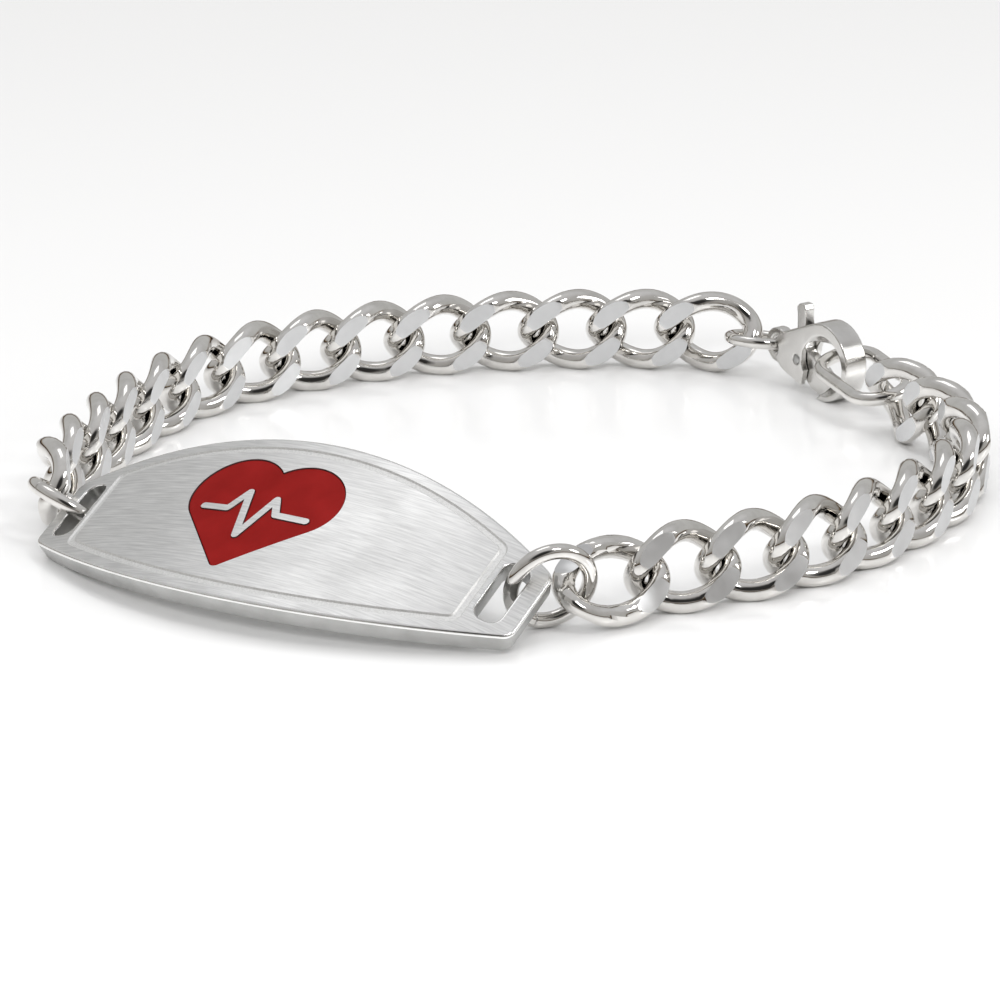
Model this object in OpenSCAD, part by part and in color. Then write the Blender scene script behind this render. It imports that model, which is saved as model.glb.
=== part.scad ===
// Medical alert bracelet: a curved plate with an enamelled emblem, joined by two
// jump rings to a curb chain that closes with a lobster-claw clasp.
// It lies on a level surface, the chain standing on its edge and the plate leaning
// back. The origin is on that surface, under the middle of the bracelet.
// All sizes are in millimetres, +Z is up and the plate is at the front, towards -Y.

/* [Identification plate] */
// Length of the plate along its curve
plate_length = 43; // [40:0.5:46]
// Width of the plate at its middle
plate_width = 17.2; // [15:0.1:19]
// Width of the plate at its two short ends
plate_end_width = 6.6; // [6.4:0.1:7]
// Thickness of the plate
plate_thickness = 1.7; // [1.4:0.1:2]
// Radius of the plate's curve round the wrist
plate_curve_radius = 58.8; // [50:0.5:80]
// Radius of the plate's four corners
plate_corner_radius = 1.1; // [0.6:0.1:1.5]
// Width of the metal bar between a slot and the end of the plate
plate_end_bar = 1.45; // [1.2:0.05:2]
// Length of a slot, across the plate
slot_length = 5.8; // [5.4:0.1:6]
// Width of a slot, along the plate
slot_width = 2.1; // [1.9:0.1:2.4]
// Corner radius of a slot
slot_corner_radius = 0.9; // [0.5:0.05:0.94]

/* [Engraved frame and emblem] */
// Distance from the plate's long edges to the engraved frame line
frame_inset = 1.05; // [0.8:0.05:1.6]
// Width of the engraved frame line
frame_width = 0.5; // [0.3:0.05:0.8]
// Depth of the engraved frame line
frame_depth = 0.12; // [0.05:0.01:0.3]
// Metal left between a slot and the frame line
frame_slot_margin = 0.5; // [0.3:0.05:1]
// Distance of the emblem's middle from the plate's middle, towards the left end
emblem_offset = 2.1; // [0:0.1:6]
// Side of the square in the middle of the heart
heart_side = 7.5; // [5:0.1:8]
// Radius of the heart's lower point
heart_tip_radius = 0.5; // [0.2:0.1:1]
// Depth of the recess for the enamel
recess_depth = 0.35; // [0.2:0.05:0.6]
// Depth of the enamel's surface below the plate's face
enamel_below_face = 0.07; // [0.02:0.01:0.15]
// Gap all round the enamel
enamel_gap = 0.03; // [0.01:0.01:0.06]
// Width of the bare line across the heart
pulse_width = 0.62; // [0.4:0.02:0.8]
// Height of the tallest peak of the bare line
pulse_height = 2.6; // [1.5:0.1:3]

/* [Plate as it lies] */
// Turn of the plate in plan, its right end nearer
plate_turn = 31.8; // [20:0.1:40]
// Lean of the plate back from upright
plate_lean = 65.1; // [55:0.1:70]
// Slope of the plate along its length, its left end lower
plate_slope = 0.56; // [0:0.02:1]

/* [Jump rings] */
// Outer diameter of the two jump rings
ring_diameter = 7.2; // [7:0.1:7.6]
// Wire diameter of the two jump rings
ring_wire = 1.15; // [1:0.05:1.25]
// Direction in plan from the right slot across its ring
ring_right_azimuth = 20; // [16:1:24]
// Tilt of the right ring from level
ring_right_tilt = 107; // [104:1:110]
// Place of the right ring along the plate, from the middle of the slot outwards
ring_right_along = 0.05; // [-0.05:0.05:0.15]
// Place of the right ring across the plate, above the middle of the slot
ring_right_across = 1.3; // [0.5:0.1:1.5]
// Direction in plan from the left slot across its ring
ring_left_azimuth = 117; // [112:1:122]
// Place of the left ring across the plate, above the middle of the slot
ring_left_across = -0.1; // [-0.3:0.1:0.2]
// Tilt of the left ring from level
ring_left_tilt = 35; // [33:0.5:38]
// Turn along the left ring from opposite the plate to the last link
ring_left_turn = 8; // [0:1:15]

/* [Curb chain] */
// Outer width of a link, which is the height of the chain as it stands
link_width = 6.9; // [6.6:0.1:7.4]
// Wire diameter of a link
link_wire = 1.68; // [1.5:0.02:1.75]
// Thickness of the chain between its two flat cut sides
chain_thickness = 2.7; // [2.5:0.05:3]
// Distance from one link to the next
link_pitch = 5.75; // [5.6:0.05:5.9]
// Gap between a link and the next where they bear on each other
link_gap = 0.18; // [0.15:0.01:0.2]
// Play between a link and a round ring or the end link
ring_play = 0.5; // [0.4:0.05:0.6]
// Twist of each end of a link out of the chain's plane
link_twist = 43; // [40:1:46]
// Roll of the first link inwards at its end in the right ring
first_roll_start = 92; // [90:1:96]
// Roll of the first link inwards at its middle
first_roll_middle = 37; // [34:1:40]
// Roll of the first link inwards at its far end
first_roll_end = 10; // [8:1:14]
// Rise of the first link towards its far end
first_rise = 4; // [2:1:6]
// Distance that the first link hangs back towards its ring
first_back = 0.06; // [0:0.02:0.12]
// Height of the first link's lowest point above the surface
first_lift = 0.25; // [0.15:0.05:0.35]
// Lean of the chain inwards beside the first link
chain_lean = 14; // [10:1:16]
// Number of links over which that lean runs out
lean_links = 7; // [4:1:10]
// Lean of the last link outwards, which runs out over the three before it
last_lean = 10; // [6:1:12]
// Number of links from the right ring to the end link, out of all 25
links_before_clasp = 11; // [10:1:12]

/* [End link, clasp and clasp ring] */
// Outer length of the plain end link that the clasp holds
end_link_length = 11; // [10:0.2:12]
// Outer width of the end link
end_link_width = 6; // [5.8:0.1:6.4]
// Wire diameter of the end link
end_link_wire = 1.2; // [1.1:0.05:1.25]
// Height of the end link in the hook above the middle of the clasp's hollow
end_link_lift = 0.8; // [0.6:0.05:0.85]
// Height of its other end above the middle of the clasp's hollow
end_link_far_lift = 0.1; // [0:0.05:0.3]
// Angle of the end link from level, across its length
end_link_tilt = -12; // [-20:1:-8]
// Radius of the clasp's hook end
hook_radius = 3.3; // [3.2:0.05:3.5]
// Radius of the clasp's hollow
hollow_radius = 1.75; // [1.7:0.05:1.8]
// Thickness of the clasp's body
clasp_thickness = 2.2; // [2:0.1:2.4]
// Distance from the middle of the hook end to the eye
eye_distance = 6.6; // [6.4:0.1:7]
// Radius of the hole in the eye
eye_hole_radius = 0.85; // [0.8:0.05:0.9]
// Thickness of the lever
lever_thickness = 0.95; // [0.8:0.05:1]
// Radius of the lever's hinge pin
pin_radius = 0.4; // [0.3:0.05:0.45]
// Clearance of the lever round its pin and beside the cheeks
lever_clearance = 0.05; // [0.03:0.01:0.08]
// Outer diameter of the clasp's own ring
clasp_ring_diameter = 5.8; // [5.6:0.1:6]
// Wire diameter of the clasp's own ring
clasp_ring_wire = 0.95; // [0.9:0.05:1]
// Tilt of the clasp's ring from level
clasp_ring_tilt = 10; // [4:1:14]

/* [Hidden] */
smooth = 72;
link_count = 25;

// Place of the middle of the plate's outer face in plan
plate_place = [-17.63, -24.1];
// Chosen points of the chain's middle line in plan, from the right ring round the
// back to the left ring. The line's length follows the chain: see route_scale.
route_points = [
    [11.67, -26], [17.77, -23.3], [22.87, -19.7], [27.17, -15.4], [31.97, -8.7],
    [34.87, -1.9], [35.47, 4.5], [33.27, 10.9], [30.27, 16.9], [27.87, 22.4],
    [25.07, 28.4], [20.27, 32.9], [12.77, 34.8], [2.77, 34.6], [-7.23, 32.9],
    [-16.23, 28.9], [-23.73, 23.4], [-28.73, 15.9], [-31.73, 8.4], [-33.83, 0.9],
    [-35.33, -4.8]
];

steel = [0.78, 0.78, 0.79];
bright_steel = [0.86, 0.85, 0.84];
enamel_red = [0.65, 0.1, 0.1];

// Rotation matrices, and the rotation that lays the plate down
function turn_x(a) = [[1, 0, 0], [0, cos(a), -sin(a)], [0, sin(a), cos(a)]];
function turn_y(a) = [[cos(a), 0, sin(a)], [0, 1, 0], [-sin(a), 0, cos(a)]];
function turn_z(a) = [[cos(a), -sin(a), 0], [sin(a), cos(a), 0], [0, 0, 1]];
plate_angles = [90 - plate_lean, -plate_slope, -plate_turn];
plate_turned = turn_z(plate_angles.z) * turn_y(plate_angles.y) * turn_x(plate_angles.x);

// The plate's outline, seen along the normal at its middle
function arc_angle(along) = along / plate_curve_radius * 180 / PI;
function chord(along) = plate_curve_radius * sin(arc_angle(along));
plate_half_chord = chord(plate_length / 2);
side_rise = (plate_width - plate_end_width) / 2;
side_radius = (pow(plate_half_chord, 2) + pow(side_rise, 2)) / (2 * side_rise);
side_centre = side_radius - plate_width / 2;
// A rounded corner's arc runs this much past the corner's own radius
corner_overrun = 0.002;
function half_width(x) = sqrt(pow(side_radius, 2) - pow(x, 2)) - side_centre;
slot_place = plate_length / 2 - plate_end_bar - slot_width / 2;

// A point of the plate, from its place along and across it and its depth
function in_plate(along, across, depth) = [
    (plate_curve_radius - depth) * sin(arc_angle(along)),
    across,
    (plate_curve_radius - depth) * cos(arc_angle(along)) - plate_curve_radius
];
corner_x = plate_half_chord - plate_corner_radius;
corner_y = sqrt(pow(side_radius - plate_corner_radius, 2) - pow(corner_x, 2)) - side_centre;
function depth_at(x, r) = plate_curve_radius - sqrt(pow(r, 2) - pow(x, 2));
plate_back_radius = plate_curve_radius - plate_thickness;
plate_low_points = concat(
    [for (x = [-corner_x:corner_x / 20:corner_x])
        [x, -half_width(x), -depth_at(x, plate_back_radius)]],
    [for (side = [-1, 1], a = [0:2:90])
        let (x = side * (corner_x + plate_corner_radius * sin(a)),
            y = -corner_y - plate_corner_radius * cos(a),
            limit = plate_back_radius * sin(arc_angle(plate_length / 2)))
        [min(max(x, -limit), limit), y,
            -depth_at(min(max(x, -limit), limit), plate_back_radius)]]
);
plate_rise = -min([for (p = plate_low_points) (plate_turned * p).z]);
plate_at = [plate_place.x, plate_place.y, plate_rise];
function on_plate(along, across, depth) = plate_at + plate_turned * in_plate(along, across, depth);

// Jump rings
ring_radius = (ring_diameter - ring_wire) / 2;
function ring_turned(tilt, azimuth) = turn_z(azimuth) * turn_x(tilt);
ring_right_start = on_plate(slot_place + ring_right_along, ring_right_across, plate_thickness / 2);
ring_left_start = on_plate(-slot_place, ring_left_across, plate_thickness / 2);
function across_ring(start, azimuth, reach) = start + reach * [cos(azimuth), sin(azimuth), 0];
ring_right_rise = ring_radius * sin(ring_right_tilt) + ring_wire / 2;
ring_right_mid = let (p = across_ring(ring_right_start, ring_right_azimuth, ring_radius))
    [p.x, p.y, ring_right_rise];
ring_left_mid = across_ring(ring_left_start, ring_left_azimuth, ring_radius);
ring_reach = ring_radius - (ring_wire + ring_play) / 2;
route_start = across_ring(ring_right_mid, ring_right_azimuth, ring_reach);
route_end = let (p = ring_left_mid + ring_turned(ring_left_tilt, ring_left_azimuth)
    * [ring_reach * cos(ring_left_turn), ring_reach * sin(ring_left_turn), 0])
    [p.x, p.y];

// Lengths that the chain's pieces take up along its route, bearing point to bearing point
clasp_play = 0.3;
end_link_run = end_link_length - 2 * end_link_wire - (ring_play + clasp_play) / 2;
hollow_x = 0.15;
hollow_z = -0.25;
hook_room = hollow_radius - (end_link_wire + clasp_play) / 2;
hook_bearing = hollow_x + sqrt(pow(hook_room, 2) - pow(end_link_lift, 2)) + end_link_wire / 2;
eye_bearing = -eye_distance - eye_hole_radius + clasp_play / 2;
clasp_run = hook_bearing - eye_bearing;
clasp_ring_run = clasp_ring_diameter - 2 * clasp_ring_wire - (ring_play + clasp_play) / 2;
// A link beside a ring or the end link takes up a little less, because of the play there
function beside(n) = n == 1 || n == links_before_clasp || n == links_before_clasp + 1 || n == link_count;
function link_takes(n) = link_pitch - (beside(n) ? (ring_play - link_gap) / 2 : 0);
runs = [
    for (n = [1:links_before_clasp]) link_takes(n),
    end_link_run, clasp_run, clasp_ring_run,
    for (n = [links_before_clasp + 1:link_count]) link_takes(n)
];
starts = [for (i = 0, s = 0; i <= len(runs); s = s + (i < len(runs) ? runs[i] : 0), i = i + 1) s];
chain_length = starts[len(runs)];

// The route is a smooth curve through the chosen points. Those points spread out
// from the middle, or close in, until the curve is as long as the chain.
route_mid = [0.27, 3.9];
span_steps = 10;
function flat(p) = [p.x, p.y];
function spread(f) = concat(
    [flat(route_start)],
    [for (p = route_points) route_mid + f * (p - route_mid)],
    [route_end]
);
function curve(a, b, c, d, t) = 0.5 * (2 * b + (c - a) * t
    + (2 * a - 5 * b + 4 * c - d) * pow(t, 2) + (3 * b - a - 3 * c + d) * pow(t, 3));
function smooth_line(q) = let (n = len(q) - 1) concat(
    [for (i = [0:n - 1], k = [0:span_steps - 1])
        let (a = i == 0 ? 2 * q[0] - q[1] : q[i - 1],
            d = i == n - 1 ? 2 * q[n] - q[n - 1] : q[i + 2])
        curve(a, q[i], q[i + 1], d, k / span_steps)],
    [q[n]]
);
function travelled(p) = [
    for (i = 0, s = 0; i < len(p); s = s + (i + 1 < len(p) ? norm(p[i + 1] - p[i]) : 0), i = i + 1) s
];
function line_length(f) = let (t = travelled(smooth_line(spread(f)))) t[len(t) - 1];
function fit_scale(low, high, n) = let (f = (low + high) / 2)
    n == 0 ? f : line_length(f) < chain_length ? fit_scale(f, high, n - 1) : fit_scale(low, f, n - 1);
route_scale = fit_scale(0.8, 1.25, 16);
route = smooth_line(spread(route_scale));
route_travelled = travelled(route);
route_x = [for (i = [0:len(route) - 1]) [route_travelled[i], route[i].x]];
route_y = [for (i = [0:len(route) - 1]) [route_travelled[i], route[i].y]];
function route_at(s) = [lookup(s, route_x), lookup(s, route_y)];
function run_mid(i) = (route_at(starts[i]) + route_at(starts[i + 1])) / 2;
// How far a link's middle stands off the middle of its run, towards its ring
function link_shift(n) = (ring_play - link_gap) / 4
    * (n == 1 || n == links_before_clasp + 1 ? -1 : n == links_before_clasp || n == link_count ? 1 : 0)
    - (n == 1 ? first_back : 0);
function run_heading(i) = let (d = route_at(starts[i + 1]) - route_at(starts[i])) atan2(d.y, d.x);

// Links: an oval of wire, twisted about its length and cut flat on both sides
link_length = link_pitch + 2 * link_wire + link_gap;
link_a = (link_length - link_wire) / 2;
link_b = (link_width - link_wire) / 2;
link_sections = 16;
function link_mid(t) =
    let (x = link_a * cos(t), h = link_b * sin(t), twist = -link_twist * cos(t))
    [x, -h * sin(twist), h * cos(twist)];
function unit(v) = v / norm(v);
function within(v, limit) = min(max(v, -limit), limit);
function link_section(t) =
    let (c = link_mid(t),
        along = unit(link_mid(t + 1) - link_mid(t - 1)),
        out = unit([0, -1, 0] + along.y * along),
        side = cross(along, out),
        r = link_wire / 2,
        room = (chain_thickness / 2 - abs(c.y)) / (r * abs(out.y)),
        half = max(30, acos(within(room, 1))))
    [for (a = [-half, half, 90, 180 - half, 180 + half, 270])
        let (p = c + r * (cos(a) * out + sin(a) * side))
        [p.x, within(p.y, chain_thickness / 2), p.z]];
link_points = [
    for (i = [0:link_sections - 1]) each link_section((i + 0.5) * 360 / link_sections)
];
link_faces = [
    for (i = [0:link_sections - 1], j = [0:5])
        let (a = 6 * i + j, b = 6 * ((i + 1) % link_sections) + j,
            c = 6 * ((i + 1) % link_sections) + (j + 1) % 6, d = 6 * i + (j + 1) % 6)
        each [[a, b, c], [a, c, d]]
];
function link_lean(n) = n == 1 ? 0 : chain_lean * max(0, 1 - (n - 2) / lean_links)
    - last_lean * max(0, 1 - (link_count - n) / 4);
function link_slope(n) = n == 1 ? -first_rise : 0;
// The first link was bent to take the ring: its roll grows from its far end to the ring
function first_roll(x) = let (u = (x + link_a) / (2 * link_a))
    first_roll_start * (1 - u) * (1 - 2 * u) + 4 * first_roll_middle * u * (1 - u)
    + first_roll_end * u * (2 * u - 1);
function link_shape(n) = n == 1 ? [for (p = link_points) turn_x(-first_roll(p.x)) * p] : link_points;
function link_run(n) = n <= links_before_clasp ? n - 1 : n + 2;
function link_rise(n) = (n == 1 ? first_lift : 0)
    - min([for (p = link_shape(n)) (turn_y(link_slope(n)) * turn_x(-link_lean(n)) * p).z]);

// Clasp, in its own frame: the hook end towards +X, the spine up, the eye towards -X
base_x = -4.4;
base_z = -0.2;
base_radius = 1.8;
eye_radius = 1.5;
eye_thickness = 0.95;
hollow_stretch = 1.05;
countersink = 0.8;
tip_low = [-0.7, -3.3];
tip_high = [0.9, -1.95];
pivot = [-3.3, -0.5];
hub_radius = 1.1;
tab_top = 4.1;
clasp_run_index = links_before_clasp + 1;
clasp_x_mid = (hook_bearing + eye_bearing) / 2;
slot_in_clasp = lever_thickness + 2 * lever_clearance;
clasp_ring_radius = (clasp_ring_diameter - clasp_ring_wire) / 2;

// Half of an outline between two circles, out to their shared tangent lines
function tangent_points(c1, r1, c2, r2) =
    let (d = c2 - c1, heading = atan2(d.y, d.x), open = acos((r1 - r2) / norm(d)))
    [
        c1 + r1 * [cos(heading + open), sin(heading + open)],
        c2 + r2 * [cos(heading + open), sin(heading + open)],
        c2 + r2 * [cos(heading - open), sin(heading - open)],
        c1 + r1 * [cos(heading - open), sin(heading - open)]
    ];

module tapered(c1, r1, c2, r2) {
    translate(c1) circle(r = r1, $fn = smooth);
    translate(c2) circle(r = r2, $fn = smooth);
    polygon(tangent_points(c1, r1, c2, r2));
}

module torus(radius, wire) {
    rotate_extrude($fn = smooth)
        translate([radius, 0])
            circle(d = wire, $fn = smooth);
}

// The plate's bowed long sides, moved in by the inset, with straight ends
module bowed_sides(inset, half_length) {
    intersection() {
        translate([0, -side_centre]) circle(r = side_radius - inset, $fn = smooth);
        translate([0, side_centre]) circle(r = side_radius - inset, $fn = smooth);
        square([2 * half_length, plate_width + 2], center = true);
    }
}

// What is cut away to round the four corners of that outline
module corner_waste(inset, half_length, corner) {
    cx = half_length - corner;
    cy = sqrt(pow(side_radius - inset - corner, 2) - pow(cx, 2)) - side_centre;
    far = [cx, cy] + (corner + 1) * unit([cx, cy + side_centre]);
    for (mx = [0, 1], my = [0, 1])
        mirror([mx, 0])
            mirror([0, my])
                difference() {
                    polygon([[cx, cy], far, [half_length + 1, far.y + 1], [half_length + 1, cy]]);
                    translate([cx, cy]) circle(r = corner + corner_overrun, $fn = smooth);
                }
}

module rounded_outline(inset, half_length, corner) {
    difference() {
        bowed_sides(inset, half_length);
        corner_waste(inset, half_length, corner);
    }
}

// The curved layer between two depths under the plate's outer face
module layer(top, bottom) {
    translate([0, 0, -plate_curve_radius])
        rotate([90, 0, 0])
            difference() {
                cylinder(r = plate_curve_radius - top, h = plate_width + 4, center = true, $fn = smooth);
                cylinder(r = plate_curve_radius - bottom, h = plate_width + 6, center = true, $fn = smooth);
            }
}

module through_plate() {
    translate([0, 0, -12]) linear_extrude(height = 16) children();
}

module at_plate(along) {
    translate([0, 0, -plate_curve_radius])
        rotate([0, arc_angle(along), 0])
            translate([0, 0, plate_curve_radius])
                children();
}

module slot_outline() {
    x = slot_width / 2 - slot_corner_radius;
    y = slot_length / 2 - slot_corner_radius;
    square([2 * x, slot_length], center = true);
    square([slot_width, 2 * y], center = true);
    for (sx = [-1, 1], sy = [-1, 1])
        translate([sx * x, sy * y]) circle(r = slot_corner_radius, $fn = smooth);
}

// The emblem's outline: a heart, its lower point rounded
module heart() {
    r = heart_tip_radius;
    translate([0, -heart_side * 0.78])
        rotate(45) {
            translate([r, r]) circle(r = r, $fn = smooth);
            polygon([[r, 0], [heart_side, 0], [heart_side, heart_side], [0, heart_side], [0, r]]);
            translate([heart_side, heart_side / 2]) circle(d = heart_side, $fn = smooth);
            translate([heart_side / 2, heart_side]) circle(d = heart_side, $fn = smooth);
        }
}

pulse_line = [
    [-4.5, 0.4], [-2.4, 0.4], [-1.5, 0.4 + 0.75 * pulse_height], [-0.1, 0.4 - pulse_height],
    [1.1, 0.4 + 0.6 * pulse_height], [1.9, 0.4], [4.5, 0.4]
];

// The bare line that stands in the recess, drawn wider by the margin
module pulse(margin) {
    w = pulse_width + 2 * margin;
    for (i = [0:len(pulse_line) - 2]) {
        d = pulse_line[i + 1] - pulse_line[i];
        translate(pulse_line[i])
            rotate(atan2(d.y, d.x))
                translate([0, -w / 2])
                    square([norm(d), w]);
    }
    for (p = pulse_line)
        translate(p) circle(d = w, $fn = smooth);
}

module plate_body() {
    frame_end = chord(slot_place - slot_width / 2 - frame_slot_margin);
    difference() {
        intersection() {
            layer(0, plate_thickness);
            through_plate() bowed_sides(0, plate_half_chord + 1);
        }
        through_plate() corner_waste(0, plate_half_chord, plate_corner_radius);
        for (side = [-1, 1]) {
            at_plate(side * plate_length / 2)
                translate([side * 10, 0, 0])
                    cube([20, plate_width + 4, 12], center = true);
            at_plate(side * slot_place)
                translate([0, 0, -5])
                    linear_extrude(height = 8)
                        slot_outline();
        }
        intersection() {
            layer(-1, frame_depth);
            through_plate()
                difference() {
                    rounded_outline(frame_inset, frame_end, 1);
                    rounded_outline(frame_inset + frame_width, frame_end - frame_width, 0.6);
                }
        }
        intersection() {
            layer(-1, recess_depth);
            through_plate()
                translate([-emblem_offset, 0])
                    difference() {
                        heart();
                        pulse(0);
                    }
        }
    }
}

module id_plate() {
    color(steel)
        translate(plate_at) rotate(plate_angles) plate_body();
}

module emblem_enamel() {
    shrink = 1 - 2 * enamel_gap / (1.6 * heart_side);
    color(enamel_red)
        translate(plate_at)
            rotate(plate_angles)
                intersection() {
                    layer(enamel_below_face, recess_depth - enamel_gap);
                    through_plate()
                        translate([-emblem_offset, 0])
                            difference() {
                                scale([shrink, shrink]) heart();
                                pulse(enamel_gap);
                            }
                }
}

module jump_ring_right() {
    color(bright_steel)
        translate(ring_right_mid)
            rotate([ring_right_tilt, 0, ring_right_azimuth])
                torus(ring_radius, ring_wire);
}

module jump_ring_left() {
    color(bright_steel)
        translate(ring_left_mid)
            rotate([ring_left_tilt, 0, ring_left_azimuth])
                torus(ring_radius, ring_wire);
}

module curb_link(n) {
    i = link_run(n);
    mid = run_mid(i);
    color(bright_steel)
        translate([mid.x, mid.y, link_rise(n)])
            rotate([-link_lean(n), link_slope(n), run_heading(i)])
                translate([link_shift(n), 0, 0])
                    polyhedron(link_shape(n), link_faces);
}

module end_link() {
    i = links_before_clasp;
    mid = run_mid(i);
    bend = (end_link_width - end_link_wire) / 2;
    straight = end_link_length - end_link_width;
    slope = asin((end_link_lift - end_link_far_lift) / (end_link_length - end_link_wire));
    color(bright_steel)
        translate([mid.x, mid.y, hook_radius + hollow_z + (end_link_lift + end_link_far_lift) / 2])
            rotate([end_link_tilt, -slope, run_heading(i)])
                for (side = [0, 1])
                    mirror([side, 0, 0]) {
                        translate([straight / 2, 0, 0])
                            rotate([0, 0, -90])
                                rotate_extrude(angle = 180, $fn = smooth)
                                    translate([bend, 0])
                                        circle(d = end_link_wire, $fn = smooth);
                        for (y = [-bend, bend])
                            translate([0, y, 0])
                                rotate([0, 90, 0])
                                    cylinder(d = end_link_wire, h = straight / 2, $fn = smooth);
                    }
}

module at_clasp() {
    mid = run_mid(clasp_run_index);
    translate([mid.x, mid.y, hook_radius])
        rotate([0, 0, run_heading(clasp_run_index) + 180])
            translate([-clasp_x_mid, 0, 0])
                children();
}

// A flat piece of the clasp, drawn with its height along y, given its thickness
module clasp_slab(thickness) {
    rotate([90, 0, 0])
        linear_extrude(height = thickness, center = true)
            children();
}

module hollow_outline() {
    for (x = [hollow_x, hollow_x - hollow_stretch])
        translate([x, hollow_z]) circle(r = hollow_radius, $fn = smooth);
    translate([hollow_x - hollow_stretch, hollow_z - hollow_radius])
        square([hollow_stretch, 2 * hollow_radius]);
}

// Everything on the lever's side of the slanting face of the hook's tip
module mouth_outline(gap) {
    along = unit(tip_high - tip_low);
    up = [-along.y, along.x];
    low = tip_low + gap * up - 1 * along;
    high = tip_high + gap * up + 0.9 * along;
    polygon([low, high, [high.x, 0], [-2.3, 0], [-2.3, -1.2], [-3.2, -4.5], [low.x, -4.5]]);
}

module clasp_body() {
    color(bright_steel)
        at_clasp()
            difference() {
                union() {
                    clasp_slab(clasp_thickness)
                        tapered([0, 0], hook_radius, [base_x, base_z], base_radius);
                    clasp_slab(eye_thickness)
                        translate([-eye_distance, base_z]) circle(r = eye_radius, $fn = smooth);
                }
                clasp_slab(clasp_thickness + 2) hollow_outline();
                clasp_slab(clasp_thickness + 2) mouth_outline(0);
                clasp_slab(clasp_thickness + 2)
                    translate([-eye_distance, base_z]) circle(r = eye_hole_radius, $fn = smooth);
                for (side = [0, 1])
                    mirror([0, side, 0])
                        translate([hollow_x, clasp_thickness / 2 - countersink, hollow_z])
                            rotate([-90, 0, 0])
                                cylinder(r1 = hollow_radius, r2 = hollow_radius + countersink + 0.1,
                                    h = countersink + 0.1, $fn = smooth);
                clasp_slab(slot_in_clasp) {
                    translate(pivot) circle(r = hub_radius + 0.12, $fn = smooth);
                    polygon([
                        pivot + [-hub_radius - 0.12, 0], pivot + [-hub_radius - 0.75, 2.1],
                        pivot + [-hub_radius - 0.75, 5], pivot + [0.95, 5],
                        pivot + [hub_radius + 1, -0.2], pivot + [hub_radius + 1, -4],
                        pivot + [-0.6, -4], pivot + [-hub_radius - 0.12, -0.2]
                    ]);
                }
                translate([pivot.x, 0, pivot.y])
                    rotate([90, 0, 0])
                        cylinder(r = pin_radius + 0.01, h = clasp_thickness + 2, center = true, $fn = smooth);
            }
}

module clasp_lever() {
    along = unit(tip_high - tip_low);
    up = [-along.y, along.x];
    color(bright_steel)
        at_clasp()
            difference() {
                union() {
                    clasp_slab(lever_thickness)
                        translate(pivot) circle(r = hub_radius, $fn = smooth);
                    clasp_slab(lever_thickness)
                        polygon([
                            pivot + [-0.55, 0], pivot + [-0.75, tab_top - pivot.y - 0.3],
                            pivot + [-0.45, tab_top - pivot.y], pivot + [0.15, tab_top - pivot.y],
                            pivot + [0.35, tab_top - pivot.y - 0.4], pivot + [0.55, 0]
                        ]);
                    clasp_slab(lever_thickness)
                        polygon([
                            pivot + [0.3, 0.93], [-1.3, -0.4], [0.5, -1.6],
                            tip_high + 0.08 * up, tip_low + 0.08 * up + 0.05 * along,
                            [-2.2, -2.7], pivot + [-0.3, -0.93]
                        ]);
                }
                translate([pivot.x, 0, pivot.y])
                    rotate([90, 0, 0])
                        cylinder(r = pin_radius + lever_clearance, h = clasp_thickness + 2,
                            center = true, $fn = smooth);
            }
}

module clasp_pin() {
    color(steel)
        at_clasp()
            translate([pivot.x, 0, pivot.y])
                rotate([90, 0, 0])
                    cylinder(r = pin_radius, h = clasp_thickness, center = true, $fn = smooth);
}

module clasp_ring() {
    i = clasp_run_index + 1;
    mid = run_mid(i);
    color(bright_steel)
        translate([mid.x, mid.y, hook_radius + base_z])
            rotate([clasp_ring_tilt, 0, run_heading(i)])
                torus(clasp_ring_radius, clasp_ring_wire);
}

id_plate();
emblem_enamel();
jump_ring_right();
jump_ring_left();
curb_link(1);  // link_01
curb_link(2);  // link_02
curb_link(3);  // link_03
curb_link(4);  // link_04
curb_link(5);  // link_05
curb_link(6);  // link_06
curb_link(7);  // link_07
curb_link(8);  // link_08
curb_link(9);  // link_09
curb_link(10);  // link_10
curb_link(11);  // link_11
curb_link(12);  // link_12
curb_link(13);  // link_13
curb_link(14);  // link_14
curb_link(15);  // link_15
curb_link(16);  // link_16
curb_link(17);  // link_17
curb_link(18);  // link_18
curb_link(19);  // link_19
curb_link(20);  // link_20
curb_link(21);  // link_21
curb_link(22);  // link_22
curb_link(23);  // link_23
curb_link(24);  // link_24
curb_link(25);  // link_25
end_link();
clasp_body();
clasp_lever();
clasp_pin();
clasp_ring();
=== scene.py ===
import bpy, bmesh
import numpy as np
from math import sin, cos, pi, radians, degrees, sqrt, atan2, asin
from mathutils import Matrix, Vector
from mathutils.geometry import delaunay_2d_cdt


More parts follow.
